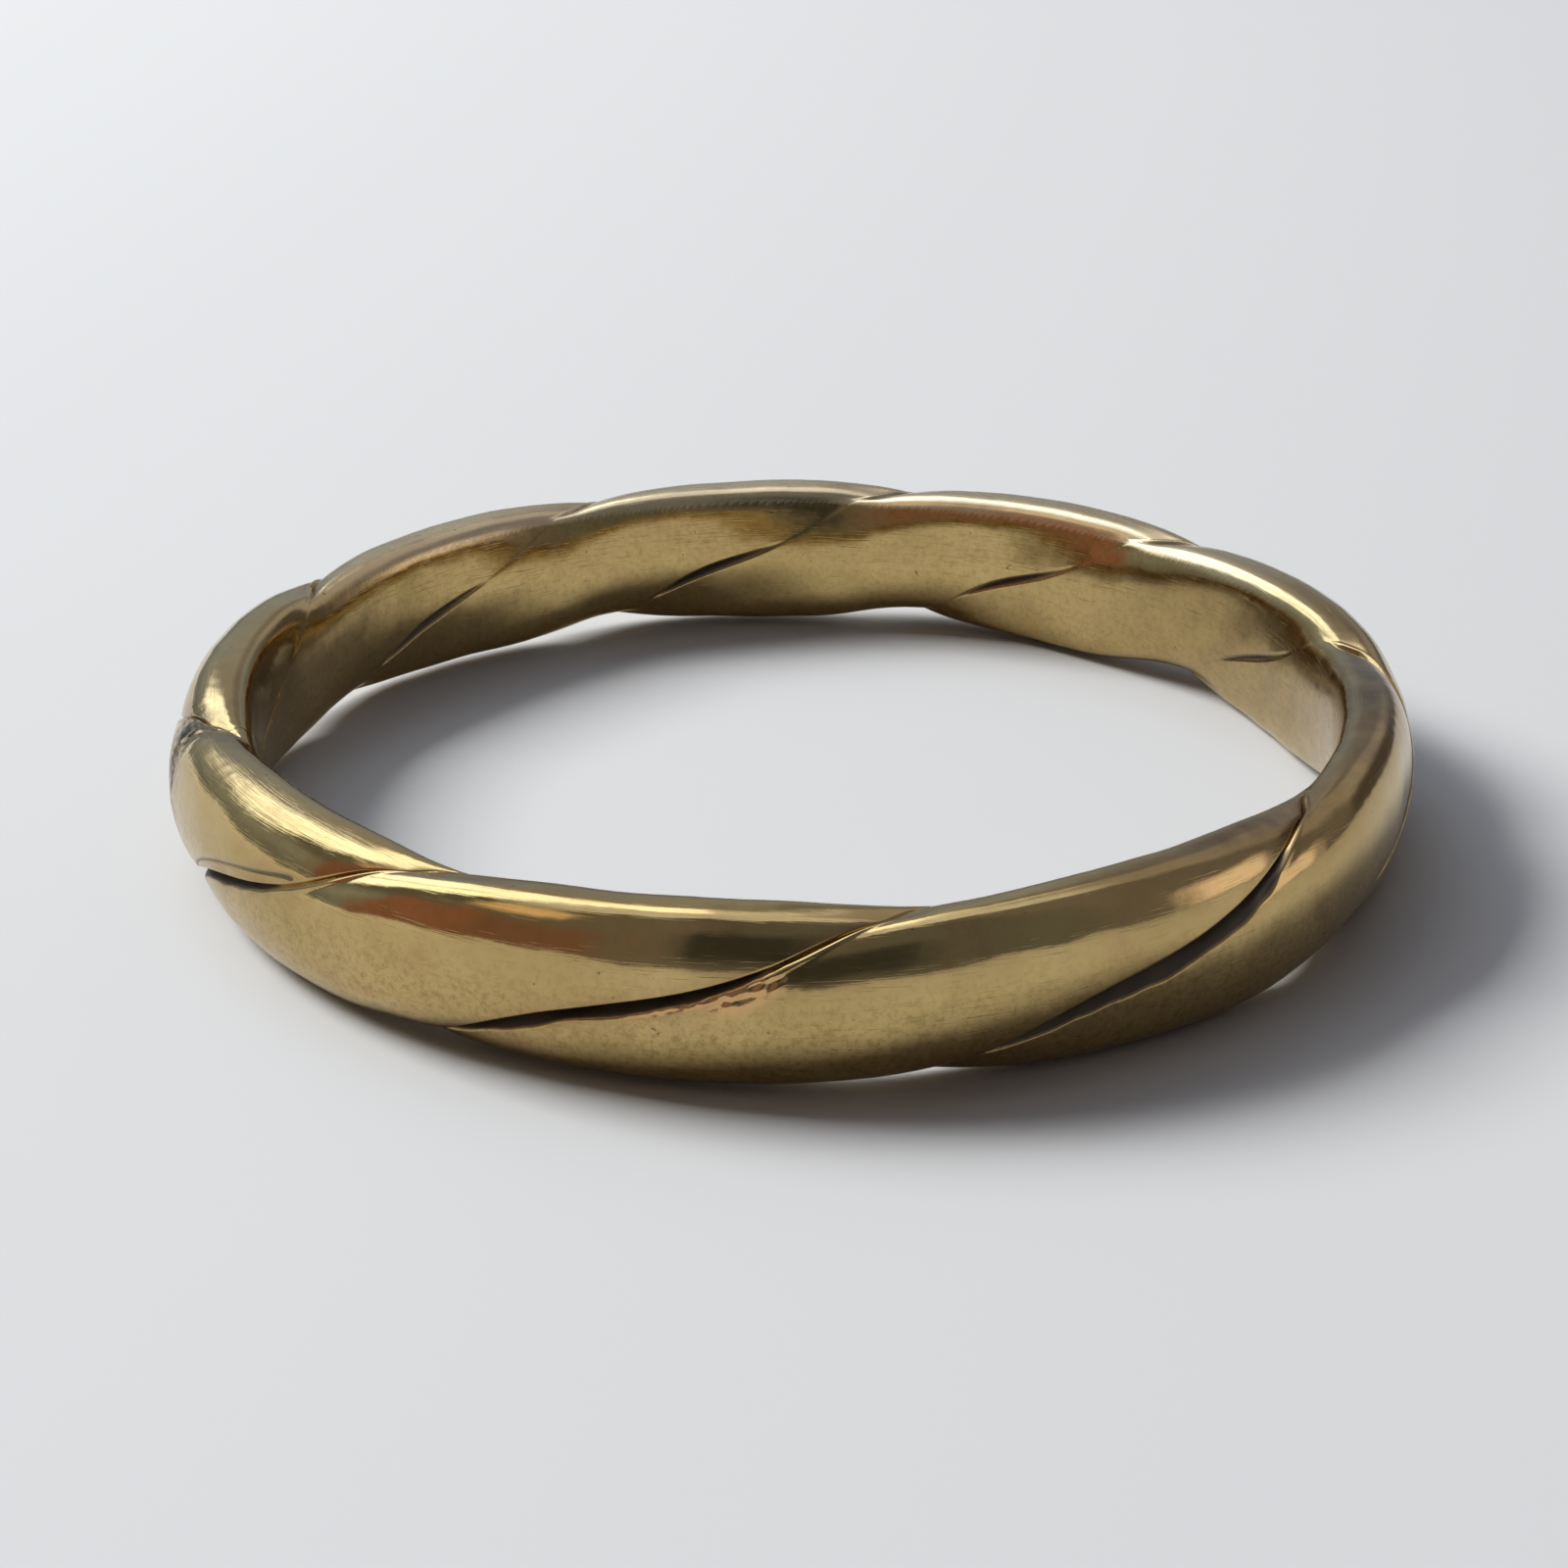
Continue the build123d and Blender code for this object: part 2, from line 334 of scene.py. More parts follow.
def fall(angle, share, distance, above):
    """Depth of the surface under the plain outline, and how far it is into a seam's opening."""
    turn = turn_at(share)
    out = np.clip(np.cos(turn), 0, 1)
    inside = np.clip(-np.cos(turn), 0, 1)
    top = (1 + np.sin(turn)) / 2
    bottom_lobe = LOBE_ON_BOTTOM + BOTTOM_LOBE_SWING * swing(angle, DEEP_LOBE_ANGLE)
    lobe = (LOBE_ON_TOP * top + bottom_lobe * (1 - top)) * np.sin(turn) ** 2
    lobe = lobe + LOBE_ON_FACE * out**2 + LOBE_INSIDE * inside**2
    inner = smooth(-np.cos(turn), *INSIDE_LOBE_FADE)
    power = LOBE_POWER + (INSIDE_LOBE_POWER - LOBE_POWER) * inner
    hump = np.sin(np.clip(np.pi * distance / (PERIMETER / 2), 0, np.pi)) ** power
    depth = lobe * (1 - hump)

    groove, slit = opening(angle, turn)
    ragged = 1 + RAGGED_SHARE * bumps(angle, np.where(above, 0.0, 0.5), *RAGGED_BUMPS)
    crease = 1 - INSIDE_CREASE_LOSS * smooth(-np.cos(turn), *INSIDE_CREASE_FADE)
    lower_face = smooth(-np.sin(turn), *LOWER_CREASE_FADE) * (np.cos(turn) > 0)
    crease = crease * (1 - LOWER_CREASE_LOSS * lower_face)
    groove_width = np.where(above, GROOVE_ABOVE, GROOVE_BELOW * ragged)
    groove_width = groove_width * (1 + WIDE_GROOVE_GAIN * wide_place(angle))
    wide = CREASE_WIDTH + (groove_width - CREASE_WIDTH) * groove
    wide = wide + (SLIT_WIDTH - CREASE_WIDTH) * slit
    deep = CREASE_DEPTH * crease * (1 - groove) * (1 - slit)
    deep = deep + GROOVE_DEPTH * groove + SLIT_DEPTH * slit
    into = np.clip(1 - distance / wide, 0, 1)
    rounding = np.where(above, ROUNDING_ABOVE, ROUNDING_BELOW)
    soft = np.where(into > rounding, into - rounding / 2, into**2 / (2 * rounding))
    return depth + deep * soft, soft * np.clip(groove + SLIT_DIRT_AND_SHADE * slit, 0, 1)


def flap_line(angle, turn, distance, above):
    """1 on the line of the folded edge; its distance is in mm."""
    fold = np.clip((angle - FLAP_ANGLE) / FLAP_HALF_ANGLE, -1, 1)
    line = FLAP_INSET + FLAP_BULGE * np.sqrt(1 - fold**2)
    on_face = above * (np.abs(fold) < 1) * (np.abs(turn) < FACE_HALF)
    return on_face * peak(distance, line, FLAP_LINE_WIDTH)


def unevenness(angle, share, distance, above):
    """Height of the worn surface over its mean skin, and how torn, scorched and folded it is."""
    turn = np.degrees(turn_at(share))
    distance = distance / MM
    high = 0.0
    for height, kind in SKIN_BUMPS:
        high = high + height * bumps(angle, share, *kind)
    burr = bumps(angle, share, *BURR_BUMPS)
    coarse = bumps(angle, share, *COARSE_BUMPS)
    edge = TORN_EDGE_SHARE * spot(angle, distance, *TORN_EDGE)
    torn = np.maximum(spot(angle, distance, *TORN_PATCH), edge)
    torn = torn * ~above * (np.abs(turn) < FACE_HALF)
    high = high + torn * (TORN_BURR * burr + TORN_COARSE * coarse)
    closing = spot(angle, turn, *CLOSING_AREA)
    high = high + closing * (CLOSING_COARSE * coarse + CLOSING_BURR * burr - CLOSING_SINK)
    for height, area, stretch, kind in LOCAL_BUMPS:
        high = high + height * spot(angle, turn, *area) * bumps(angle, share / stretch, *kind)
    flap = flap_line(angle, turn, distance, above)
    high = high - FLAP_LINE_DEPTH * flap
    tip = ~above * smooth(turn, *LIP_RIDGE_RISE) * (1 - smooth(turn, *LIP_RIDGE_END))
    high = high + LIP_RIDGE_HEIGHT * tip * peak(distance, LIP_RIDGE_PLACE, LIP_RIDGE_WIDTH)
    return high * MM, np.clip(torn, 0, 1), np.clip(closing, 0, 1), flap


def surface(angle, share, distance, above):
    """Radius and height of the surface, with its groove, torn and scorch values."""
    radius, height, normal_r, normal_z = outline(turn_at(share))
    depth, groove = fall(angle, share, distance, above)
    high, torn, scorch, flap = unevenness(angle, share, distance, above)
    depth = depth + np.clip(SKIN - high * (1 - groove), LEAST_SKIN, None)
    groove = np.maximum(groove, FLAP_DIRT_AND_SHADE * flap)
    return radius - depth * normal_r, height - depth * normal_z, groove, torn, scorch


def placed(angle, radius, height):
    """Put points of the section in the half-plane at an angle from the front."""
    thicker = THICKNESS_SWING * np.cos(np.radians(2 * (angle - THICK_ANGLE)))
    radius = radius + thicker * (radius - BORE_RADIUS)
    height = height * (1 + HEIGHT_SWING * swing(angle, TALL_ANGLE))
    turn = np.radians(angle)
    return np.stack([radius * np.sin(turn), -radius * np.cos(turn), height + BAND_MIDDLE], -1)


def round_band(trim):
    """Angles of the stations round the band, from one side of the closure to the other."""
    cut = math.degrees(trim / CORE_RADIUS)
    return np.linspace(CLOSURE_ANGLE + cut, CLOSURE_ANGLE + 360 - cut, STATIONS)[:, None]


def dome_distances():
    """Distances from the first seam, fine near both lips."""
    half = PERIMETER / 2
    near = LIP_WIDTH * np.linspace(0, 1, LIP_POINTS) ** LIP_GRADING
    far = np.linspace(LIP_WIDTH, half - LIP_WIDTH, DOME_POINTS + 2)[1:-1]
    return np.concatenate([near, far, half - near[::-1]])


def parted(radius, height, near):
    """Move a strand off its neighbour by half the gap, and add the wall between its lips."""
    first = np.stack([radius[:, 0], height[:, 0]], -1)
    last = np.stack([radius[:, -1], height[:, -1]], -1)
    chord = last - first
    chord = chord / np.linalg.norm(chord, axis=1, keepdims=True)
    outward = np.stack([chord[:, 1], -chord[:, 0]], -1)
    middle = np.stack([radius.mean(1), height.mean(1)], -1)
    flip = np.sum((middle - first) * outward, axis=1) < 0
    outward[flip] *= -1
    shut = SHUT_SHARE * np.exp(-near / SHUT_REACH)
    steps = np.linspace(1, 0, WALL_POINTS + 2)[1:-1]
    result = []
    for value, way in ((radius, outward[:, :1]), (height, outward[:, 1:])):
        wall = value[:, :1] + (value[:, -1:] - value[:, :1]) * steps + way * SEAM_GAP / 2
        result.append(np.concatenate([value + way * (1 - shut) * SEAM_GAP / 2, wall], 1))
    return result


def strand_wear(angles, share, along, near):
    """Values that place the wear and a painted highlight on a strand, apart from those that come
    with its surface.
    """
    turn = turn_at(share)
    degrees = np.degrees(turn)
    top = smooth(turn, *POLISHED_RISE) * (turn < POLISHED_STOP)
    satin = (1 - POLISHED_SHARE * top) * (1 - INSIDE_POLISH * (np.cos(turn) < INSIDE_FROM))
    dull = smooth(-np.cos(np.radians(angles)), *DULL_AND_HIGHLIGHT_RISE)
    dull = dull * (turn > DULL_AND_HIGHLIGHT_TURNS[0]) * (turn < DULL_AND_HIGHLIGHT_TURNS[1])
    stain = sum(strength * spot(angles, degrees, *area) for strength, area in STAIN_AREAS)
    below = along > PERIMETER / 4
    lip = below * peak(near, 0, BRIGHT_LIP_REACH)
    lip = lip * smooth(turn, *BRIGHT_LIP_RISE) * (turn < BRIGHT_LIP_STOP)
    seam = peak(near, 0, TARNISH_REACH) * (1 - smooth(-np.cos(turn), *TARNISH_FADE))
    return {
        "ridge": spot(angles, degrees, *RIDGE_AREA),
        "stain": np.minimum(stain, 1),
        "dull": dull,
        "satin": satin,
        "seam": seam * (1 - BRIGHT_LIP_SHARE * lip),
        "along": np.radians(angles) * CORE_RADIUS * np.ones_like(share),
        "across": share * PERIMETER,
    }


def strand_rows(side):
    """Stations round the band by points round the strand, with the values that colour them."""
    angles = round_band(STRAND_TRIM)
    along = dome_distances()[None, :]
    share = seam_share(angles) + side / 2 + along / PERIMETER
    near = np.minimum(along, PERIMETER / 2 - along)
    above = along < PERIMETER / 4
    radius, height, groove, torn, scorch = surface(angles, share, near, above)
    values = {"groove": groove, "torn": torn, "scorch": scorch}
    values.update(strand_wear(angles, share, along, near))
    walls = ((0, 0), (0, WALL_POINTS))
    for label in values:
        filler = WALL_VALUES.get(label, 0.0)
        values[label] = np.pad(values[label], walls, constant_values=filler)
    return angles, *parted(radius, height, near), values


def tube_mesh(name, points, values, corners=()):
    """Closed mesh from rows of points, capped at both ends, with named values on its points.

    Its shading breaks at both caps and along the columns listed as corners.
    """
    rows, columns = points.shape[:2]
    index = np.arange(rows * columns).reshape(rows, columns)
    around = np.roll(index, -1, axis=1)
    quads = np.stack([index[:-1], around[:-1], around[1:], index[1:]], -1).reshape(-1, 4)
    ends = np.concatenate([points[0].mean(0)[None], points[-1].mean(0)[None]])
    vertices = np.concatenate([points.reshape(-1, 3), ends])
    start, stop = rows * columns, rows * columns + 1
    caps = [(start, index[0, (j + 1) % columns], index[0, j]) for j in range(columns)]
    caps += [(stop, index[-1, j], index[-1, (j + 1) % columns]) for j in range(columns)]
    faces = quads.tolist() + [tuple(int(i) for i in cap) for cap in caps]
    mesh = bpy.data.meshes.new(name)
    mesh.from_pydata(vertices.tolist(), [], faces)
    for label, value in values.items():
        data = mesh.attributes.new(label, "FLOAT", "POINT")
        flat = np.concatenate([value.reshape(-1), [value.flat[0], value.flat[-1]]])
        data.data.foreach_set("value", flat.astype(np.float32))
    mesh.validate()
    mesh.update()
    pairs = np.empty(len(mesh.edges) * 2, np.int32)
    mesh.edges.foreach_get("vertices", pairs)
    pairs = pairs.reshape(-1, 2)
    inner = (pairs < rows * columns).all(1)
    row, column = pairs // columns, pairs % columns
    same_row = row[:, 0] == row[:, 1]
    sharp = inner & same_row & ((row[:, 0] == 0) | (row[:, 0] == rows - 1))
    for corner in corners:
        sharp |= inner & (column == corner).all(1)
    mesh.edges.foreach_set("use_edge_sharp", sharp)
    return mesh


def outward_faces(mesh):
    """Turn the faces so that the mesh has a positive volume."""
    mesh.calc_loop_triangles()
    count = len(mesh.loop_triangles)
    corners = np.empty(count * 3, np.int32)
    mesh.loop_triangles.foreach_get("vertices", corners)
    points = np.empty(len(mesh.vertices) * 3)
    mesh.vertices.foreach_get("co", points)
    a, b, c = points.reshape(-1, 3)[corners.reshape(-1, 3)].transpose(1, 0, 2)
    if np.einsum("ij,ij->i", a, np.cross(b, c)).sum() < 0:
        mesh.flip_normals()


def add_piece(name, mesh, material, node):
    """Put a mesh in the scene as the look of one CAD node."""
    piece = bpy.data.objects.new(name, mesh)
    bpy.context.collection.objects.link(piece)
    outward_faces(mesh)
    mesh.polygons.foreach_set("use_smooth", [True] * len(mesh.polygons))
    mesh.materials.append(material)
    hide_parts(node)
    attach(piece, "root")


def make_strand(name, side, material):
    """One gold strand, sharp along its two lips."""
    angles, radius, height, values = strand_rows(side)
    points = placed(angles, radius, height)
    lips = (0, len(dome_distances()) - 1)
    add_piece(name + "_gold", tube_mesh(name, points, values, lips), material, name)


def make_seam_solder(material):
    """Lumpy strip of solder at the bottom of the grooves."""
    angles = round_band(SOLDER_TRIM)
    ends = []
    for side in (0, 1):
        share = seam_share(angles) + side / 2
        radius, height, *_ = surface(angles, share, np.zeros_like(share), np.array(True))
        ends.append(np.concatenate([radius, height], 1))
    first, last = ends
    chord = last - first
    size = np.linalg.norm(chord, axis=1, keepdims=True)
    chord = chord / size
    across = np.stack([chord[:, 1], -chord[:, 0]], -1)
    inset = SOLDER_INSET + SOLDER_LUMPS * bumps(angles, 0.0, *SOLDER_BUMPS)
    columns = []
    for sign in (1, -1):
        for part in np.linspace(0, 1, SOLDER_POINTS)[::sign]:
            place = first + chord * (inset + part * (size - 2 * inset))
            columns.append(place + across * sign * SOLDER_HALF)
    rows = np.stack(columns, 1)
    points = placed(angles, rows[..., 0], rows[..., 1])
    mesh = tube_mesh("seam_solder", points, {"groove": np.ones(points.shape[:2])})
    add_piece("seam_solder_strip", mesh, material, "seam_solder")


def make_closure_solder(material):
    """Thin plate between the cut ends, flush with the strands."""
    half = math.degrees(CLOSURE_HALF / CORE_RADIUS)
    angles = np.linspace(CLOSURE_ANGLE - half, CLOSURE_ANGLE + half, CLOSURE_STATIONS)[:, None]
    along = dome_distances()[None, :-1]
    sides = [seam_share(angles) + side / 2 + along / PERIMETER for side in (0, 1)]
    share = np.concatenate(sides, 1)
    distance = np.tile(np.minimum(along, PERIMETER / 2 - along), 2)
    above = np.tile(along < PERIMETER / 4, 2)
    radius, height, groove, _, scorch = surface(angles, share, distance, above)
    points = placed(angles, radius, height)
    satin = np.full_like(groove, CLOSURE_SATIN)
    values = {"groove": groove, "scorch": scorch, "satin": satin}
    mesh = tube_mesh("closure_solder", points, values)
    add_piece("closure_solder_plate", mesh, material, "closure_solder")


# Base colours, linear
GOLD_DARK = (0.47, 0.335, 0.132)
GOLD_LIGHT = (0.62, 0.455, 0.195)
GOLD_STAIN = (0.46, 0.27, 0.13)
MOTTLE = (0.33, 0.228, 0.083)
# painted highlight on the top at the back, lighter than the gold
PAINTED_HIGHLIGHT = (0.88, 0.73, 0.47)
TARNISH = (0.36, 0.22, 0.10)
COPPER = (0.72, 0.43, 0.19)
STAIN = (0.20, 0.135, 0.085)
SCORCH = (0.12, 0.105, 0.075)
# dirt and painted shade in the grooves, the slits and on the seam walls
DIRT_AND_SHADE = (0.135, 0.108, 0.078)
SPECK = (0.060, 0.050, 0.034)
SOLDER_DARK = (0.20, 0.12, 0.06)
SOLDER_LIGHT = (0.52, 0.36, 0.18)
FLOOR = (0.590, 0.593, 0.585)

# Floor and solder
FLOOR_HALF = 1.2
FLOOR_ROUGHNESS = 0.6
FLOOR_SPECULAR = 0.2
SOLDER_SPAN = (0.35, 0.7)
SOLDER_ROUGHNESS = (0.35, 0.6)

# Noises: scale for a metre, detail and roughness
GOLD_PATCHES = (420.0, 5.0, 0.6)
GRAIN = (2600.0, 4.0, 0.65)
HAIRLINE_NOISE = (34000.0, 2.0, 0.5)
SOLDER_PATCHES = (3000.0, 4.0, 0.5)

# Clouds of wear: a noise, the span of it that shows, and the strengths at both ends
CLOUDS = {
    "stains": ((900.0, 6.0, 0.7), (0.52, 0.70), (0.0, 0.45)),
    "mottle": ((9000.0, 5.0, 0.75), (0.46, 0.64), (0.0, 0.75)),
    "browned": ((1500.0, 5.0, 0.6), (0.36, 0.62), (0.40, 0.95)),
    "specks": ((7000.0, 2.0, 0.5), (0.73, 0.77), (0.0, 0.6)),
    "tarnish": ((2500.0, 4.0, 0.6), (0.35, 0.65), (0.15, 0.75)),
    "burnt": ((3600.0, 5.0, 0.7), (0.38, 0.54), (0.0, 1.0)),
    "matt": ((1300.0, 5.0, 0.6), (0.3, 0.7), (0.08, 0.21)),
}
PATCH_SPAN = (0.30, 0.70)
POLISH = ((0.3, 0.7), (0.045, 0.10))    # span of the grain, and the roughness it gives
COPPER_SHOWS = ((0.15, 0.6), (0.0, 0.8))
DIRT_AND_SHADE_SPAN = (0.0, 0.16)
PAINTED_HIGHLIGHT_SHARE = 0.7
SCORED_SHARE = 0.5

# Scratches: slant in degrees and seed, and the noise value from which they show
SCRATCHES = ((14.0, 1.0), (-38.0, 2.0))
BRUSHING = (66.0, 3.0)
SCRATCH_LEAST = 0.60
BRUSHING_LEAST = 0.45
HAIRLINE_SPAN = 0.16
HAIRLINE_SQUEEZE = 0.035          # along the strand, which draws the noise out into lines

# What each kind of wear adds to the roughness, and what it takes from the grain's bump
ROUGHER = {
    "scratches": 0.14, "burnt": 0.25, "dirt": 0.30, "copper": 0.05, "dull": 0.16,
    "stained": 0.20, "brushed": 0.25, "ridge": 0.06,
}
LOWER = {"specks": 1.2, "brushed": 1.6, "scratches": 0.5}
BUMP_STRENGTH = 0.30
BUMP_DISTANCE = 0.005 * MM


class Nodes:
    """Shorthand for building the node tree of a material or a world."""

    def __init__(self, owner):
        owner.use_nodes = True
        self.tree = owner.node_tree
        self.tree.nodes.clear()

    def add(self, kind, **settings):
        """New node; a setting is the value of an input, or else a property."""
        node = self.tree.nodes.new(kind)
        for key, value in settings.items():
            if key in node.inputs:
                node.inputs[key].default_value = value
            else:
                setattr(node, key, value)
        return node

    def link(self, output, target):
        self.tree.links.new(output, target)

    def feed(self, target, value):
        """Give an input a number, a colour or another node's output."""
        if isinstance(value, (int, float)):
            target.default_value = value
        elif isinstance(value, tuple):
            target.default_value = (*value, 1)
        else:
            self.link(value, target)

    def math(self, operation, *values):
        """Result of an operation on numbers or other nodes' outputs."""
        node = self.add("ShaderNodeMath", operation=operation)
        for target, value in zip(node.inputs, values):
            self.feed(target, value)
        return node.outputs[0]

    def painted(self, label):
        """A named value of the mesh's points."""
        return self.add("ShaderNodeAttribute", attribute_name=label).outputs["Fac"]

    def noise(self, place, scale, detail, roughness):
        """Cloudy noise, about 0.3 to 0.7 with a middle of 0.5."""
        node = self.add("ShaderNodeTexNoise", Scale=scale, Detail=detail, Roughness=roughness)
        self.link(place, node.inputs["Vector"])
        return node.outputs["Fac"]

    def ranged(self, value, span, result=(0.0, 1.0), kind="LINEAR"):
        """Map a span of the value to a span of the result, level outside it."""
        node = self.add("ShaderNodeMapRange", interpolation_type=kind)
        for label, number in zip(("From Min", "From Max", "To Min", "To Max"), (*span, *result)):
            node.inputs[label].default_value = number
        self.link(value, node.inputs["Value"])
        return node.outputs["Result"]

    def ramp(self, value, span, dark, light):
        """Fade between two colours over a span of the value."""
        node = self.add("ShaderNodeValToRGB")
        for stop, position, colour in zip(node.color_ramp.elements, span, (dark, light)):
            stop.position, stop.color = position, (*colour, 1)
        self.link(value, node.inputs["Fac"])
        return node.outputs["Color"]

    def mixed(self, factor, below, colour):
        """Lay a colour over another by a factor."""
        node = self.add("ShaderNodeMix", data_type="RGBA")
        self.link(factor, node.inputs["Factor"])
        self.feed(node.inputs["A"], below)
        self.feed(node.inputs["B"], colour)
        return node.outputs["Result"]


def shaded(name, **settings):
    """New material of one principled shader, with its nodes."""
    material = bpy.data.materials.new(name)
    n = Nodes(material)
    shader = n.add("ShaderNodeBsdfPrincipled", **settings)
    output = n.add("ShaderNodeOutputMaterial")
    n.link(shader.outputs["BSDF"], output.inputs["Surface"])
    return material, n, shader


def hairlines(n, slant, seed, least):
    """Fine scratches along the strand at a slant, 0 to 1; more of them for a lower least."""
    place = n.add("ShaderNodeCombineXYZ", Z=seed)
    n.link(n.painted("along"), place.inputs["X"])
    n.link(n.painted("across"), place.inputs["Y"])
    turned = n.add("ShaderNodeMapping")
    turned.inputs["Rotation"].default_value = (0, 0, math.radians(slant))
    turned.inputs["Scale"].default_value = (HAIRLINE_SQUEEZE, 1, 1)
    n.link(place.outputs["Vector"], turned.inputs["Vector"])
    lines = n.noise(turned.outputs["Vector"], *HAIRLINE_NOISE)
    return n.ranged(lines, (least, least + HAIRLINE_SPAN))


def gold_material():
    """Worn gold, whose wear, painted shade and painted highlight lie where the values of the
    mesh's points put them.
    """
    material, n, shader = shaded("worn_gold", Metallic=1.0)
    place = n.add("ShaderNodeTexCoord").outputs["Object"]
    cloud = {}
    for label, (noise, span, strengths) in CLOUDS.items():
        cloud[label] = n.ranged(n.noise(place, *noise), span, strengths)
    satin, ridge, dull = n.painted("satin"), n.painted("ridge"), n.painted("dull")

    lines = [hairlines(n, *kind, SCRATCH_LEAST) for kind in SCRATCHES]
    scratches = n.math("ADD", *lines)
    scored = n.math("MULTIPLY", n.math("MULTIPLY", scratches, SCORED_SHARE), satin)
    # the wear, with dirt and painted shade in the grooves and a painted highlight on the top at
    # the back
    wear = {
        "scratches": scratches,
        "specks": cloud["specks"],
        "stained": n.math("MULTIPLY", cloud["browned"], n.painted("stain")),
        "dull": dull,
        "copper": n.ranged(n.painted("torn"), *COPPER_SHOWS),
        "burnt": n.math("MULTIPLY", n.painted("scorch"), cloud["burnt"]),
        "dirt": n.ranged(n.painted("groove"), DIRT_AND_SHADE_SPAN),
        "ridge": ridge,
        "brushed": n.math("MULTIPLY", hairlines(n, *BRUSHING, BRUSHING_LEAST), ridge),
    }
    layers = (
        (cloud["stains"], GOLD_STAIN),
        (n.math("MULTIPLY", cloud["mottle"], satin), MOTTLE),
        (scored, MOTTLE),
        (wear["stained"], STAIN),
        # painted highlight: the rougher top at the back is painted lighter
        (n.math("MULTIPLY", dull, PAINTED_HIGHLIGHT_SHARE), PAINTED_HIGHLIGHT),
        (wear["specks"], SPECK),
        (n.math("MULTIPLY", cloud["tarnish"], n.painted("seam")), TARNISH),
        (wear["copper"], COPPER),
        (wear["burnt"], SCORCH),
        # dirt and painted shade deep in the grooves and slits, and along the folded edge's line
        (wear["dirt"], DIRT_AND_SHADE),
    )
    colour = n.ramp(n.noise(place, *GOLD_PATCHES), PATCH_SPAN, GOLD_DARK, GOLD_LIGHT)
    for factor, laid in layers:
        colour = n.mixed(factor, colour, laid)
    n.link(colour, shader.inputs["Base Color"])

    grain = n.noise(place, *GRAIN)
    matt = n.math("MULTIPLY", cloud["matt"], satin)
    rough = n.math("ADD", n.ranged(grain, *POLISH), matt)
    for label, gain in ROUGHER.items():
        rough = n.math("ADD", rough, n.math("MULTIPLY", wear[label], gain))
    n.link(rough, shader.inputs["Roughness"])

    bump = n.add("ShaderNodeBump", Strength=BUMP_STRENGTH, Distance=BUMP_DISTANCE)
    height = grain
    for label, loss in LOWER.items():
        height = n.math("SUBTRACT", height, n.math("MULTIPLY", wear[label], loss))
    n.link(height, bump.inputs["Height"])
    n.link(bump.outputs["Normal"], shader.inputs["Normal"])
    return material


def solder_material():
    """Rough, tarnished solder in brown and dull yellow patches."""
    material, n, shader = shaded("tarnished_solder", Metallic=1.0)
    place = n.add("ShaderNodeTexCoord").outputs["Object"]
    patches = n.noise(place, *SOLDER_PATCHES)
    colour = n.ramp(patches, SOLDER_SPAN, SOLDER_DARK, SOLDER_LIGHT)
    n.link(colour, shader.inputs["Base Color"])
    n.link(n.ranged(patches, (0.0, 1.0), SOLDER_ROUGHNESS), shader.inputs["Roughness"])
    return material


def make_floor():
    """Plain pale floor just under the band."""
    half, z = FLOOR_HALF, cad_low.z
    mesh = bpy.data.meshes.new("floor")
    corners = [(-half, -half, z), (half, -half, z), (half, half, z), (-half, half, z)]
    mesh.from_pydata(corners, [], [(0, 1, 2, 3)])
    looks = {"Roughness": FLOOR_ROUGHNESS, "Specular IOR Level": FLOOR_SPECULAR}
    material, _, _ = shaded("pale_floor", **{"Base Color": (*FLOOR, 1)}, **looks)
    mesh.materials.append(material)
    floor = bpy.data.objects.new("floor", mesh)
    bpy.context.collection.objects.link(floor)


def make_camera():
    """A short telephoto, 23 degrees above the floor, a little off the ring's middle."""
    tilt, roll = math.radians(23.437), math.radians(0.359)
    distance, side, lift = 58.168 * MM, -0.164 * MM, -0.748 * MM
    forward = Vector((0, math.cos(tilt), -math.sin(tilt)))
    right = Vector((1, 0, 0))
    up = right.cross(forward)
    camera_right = math.cos(roll) * right + math.sin(roll) * up
    camera_up = -math.sin(roll) * right + math.cos(roll) * up
    data = bpy.data.cameras.new("camera")
    data.sensor_width = 36
    data.lens = 81.906
    data.clip_start, data.clip_end = 0.002, 5
    camera = bpy.data.objects.new("camera", data)
    bpy.context.collection.objects.link(camera)
    centre = Vector((0, 0, BAND_MIDDLE))
    place = centre - forward * distance + right * side + up * lift
    turn = Matrix((camera_right, camera_up, -forward)).transposed()
    camera.matrix_world = Matrix.Translation(place) @ turn.to_4x4()
    bpy.context.scene.camera = camera


def make_key_light():
    """Square lamp on the left and behind; the panels stand in for it in reflections."""
    place, size = (-0.278, 0.130, 0.248), 0.17
    data = bpy.data.lights.new("key", "AREA")
    data.shape = "RECTANGLE"
    data.size, data.size_y = size, size
    data.energy = 2.35
    light = bpy.data.objects.new("key", data)
    bpy.context.collection.objects.link(light)
    light.location = place
    light.rotation_mode = "QUATERNION"
    light.rotation_quaternion = (-Vector(place)).to_track_quat("-Z", "Y")
    light.visible_glossy = False


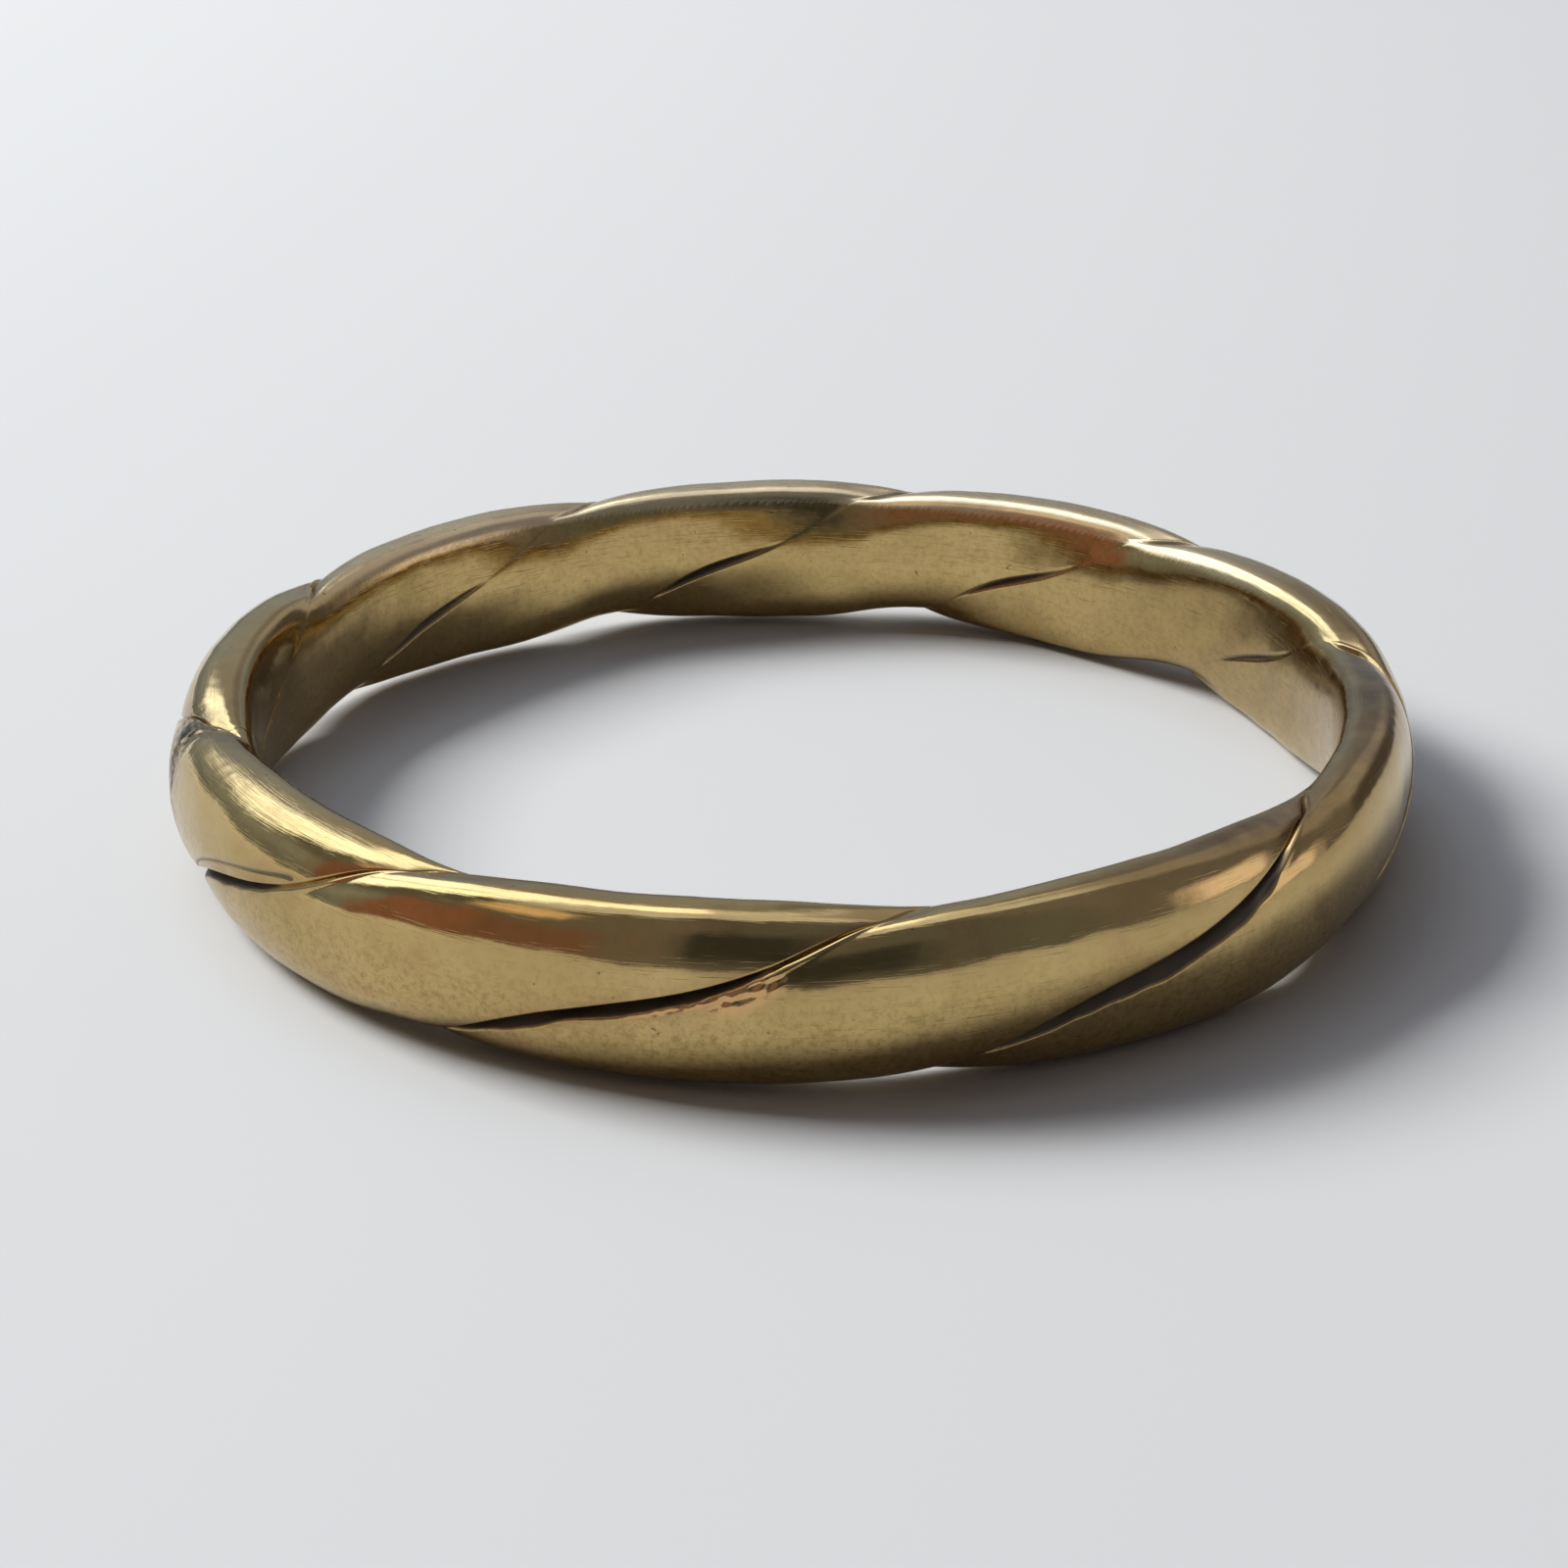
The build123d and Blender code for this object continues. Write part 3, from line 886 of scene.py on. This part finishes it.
# Softboxes and dark cards of the room: colour, bearings and heights in degrees (0 is the back,
# 90 the right, -90 the left), and how soft their edges are. Later ones cover earlier ones.
PANELS = (
    ((0.20, 0.19, 0.20), (-172, -100), (-20, 78), 8),        # wall on the left, in shade
    ((0.25, 0.145, 0.12), (-152, -92), (-14, 34), 7),        # wooden sill under it
    ((0.31, 0.16, 0.125), (-122, -94), (4, 38), 6),          # its sunlit end
    ((1.05, 0.82, 0.62), (-128, -96), (46, 62), 5),          # lit top of that wall
    ((0.055, 0.058, 0.065), (158, 190), (8, 46), 8),         # dark doorway behind the camera,
    ((0.055, 0.058, 0.065), (-190, -165), (7, 46), 8),       # on both sides of bearing 180
    ((0.44, 0.43, 0.48), (12, 74), (14, 74), 8),             # wall on the right
    ((0.21, 0.20, 0.23), (70, 122), (-10, 80), 7),           # its far end
    ((1.20, 1.08, 1.14), (80, 103), (-13, 16), 4),           # lit corner
    ((0.10, 0.09, 0.09), (34, 68), (-6, 20), 5),             # furniture in front of it
    ((0.34, 0.39, 0.46), (-92, 18), (-14, 26), 7),           # far wall behind the ring
    ((0.23, 0.26, 0.29), (-92, 18), (-16, 11), 6),           # low furniture along it
    ((0.40, 0.41, 0.46), (-16, 4), (22, 46), 5),             # wall beside the window
    ((0.26, 0.26, 0.29), (4, 17), (16, 44), 5),              # its shaded end
    ((0.85, 0.90, 1.08), (-100, 76), (63, 100), 7),          # pale ceiling near the window
    ((0.95, 0.98, 1.08), (-8, 14), (46, 66), 5),             # and over that wall
    ((2.20, 2.35, 2.60), (-21, -2), (46, 69), 4),            # top corner of the window
    ((2.35, 2.65, 3.10), (-70, -15.5), (26, 66), 3.5),       # large window, left and behind
    ((1.10, 1.20, 1.30), (-46, -41), (22, 58), 3),           # its glazing bar
)
ROOM_DARK = (0.15, 0.155, 0.17)
BACKDROP = (0.60, 0.62, 0.64)     # what the camera sees past the floor
AMBIENT_SHARE = 0.54              # of the panels' light falls on matt surfaces


def window(n, value, low, high, soft):
    """1 between two angles, 0 outside them, with soft edges."""
    rise = n.ranged(value, (low - soft, low + soft), kind="SMOOTHSTEP")
    drop = n.ranged(value, (high - soft, high + soft), kind="SMOOTHSTEP")
    return n.math("MULTIPLY", rise, n.math("SUBTRACT", 1.0, drop))


def make_world():
    """Soft room: a large window on the left and behind, a dim room in front and on the right."""
    world = bpy.data.worlds.new("room")
    bpy.context.scene.world = world
    n = Nodes(world)
    way = n.add("ShaderNodeSeparateXYZ")
    n.link(n.add("ShaderNodeTexCoord").outputs["Generated"], way.inputs["Vector"])
    height = n.math("DEGREES", n.math("ARCSINE", way.outputs["Z"]))
    bearing = n.math("DEGREES", n.math("ARCTAN2", way.outputs["X"], way.outputs["Y"]))
    colours = ROOM_DARK
    for colour, bearings, heights, soft in PANELS:
        across = window(n, bearing, *bearings, soft)
        upright = window(n, height, *heights, soft)
        colours = n.mixed(n.math("MULTIPLY", across, upright), colours, colour)
    path = n.add("ShaderNodeLightPath")
    dimmed = n.math("MULTIPLY", path.outputs["Is Diffuse Ray"], 1 - AMBIENT_SHARE)
    room = n.add("ShaderNodeBackground")
    n.link(colours, room.inputs["Color"])
    n.link(n.math("SUBTRACT", 1.0, dimmed), room.inputs["Strength"])
    backdrop = n.add("ShaderNodeBackground", Color=(*BACKDROP, 1))
    choice = n.add("ShaderNodeMixShader")
    n.link(path.outputs["Is Camera Ray"], choice.inputs[0])
    n.link(room.outputs["Background"], choice.inputs[1])
    n.link(backdrop.outputs["Background"], choice.inputs[2])
    output = n.add("ShaderNodeOutputWorld")
    n.link(choice.outputs[0], output.inputs["Surface"])


make_camera()
gold = gold_material()
solder = solder_material()
make_strand("strand_a", 0, gold)
make_strand("strand_b", 1, gold)
make_seam_solder(solder)
make_closure_solder(gold)
make_floor()
make_world()
make_key_light()
bpy.context.scene.view_settings.view_transform = "Standard"
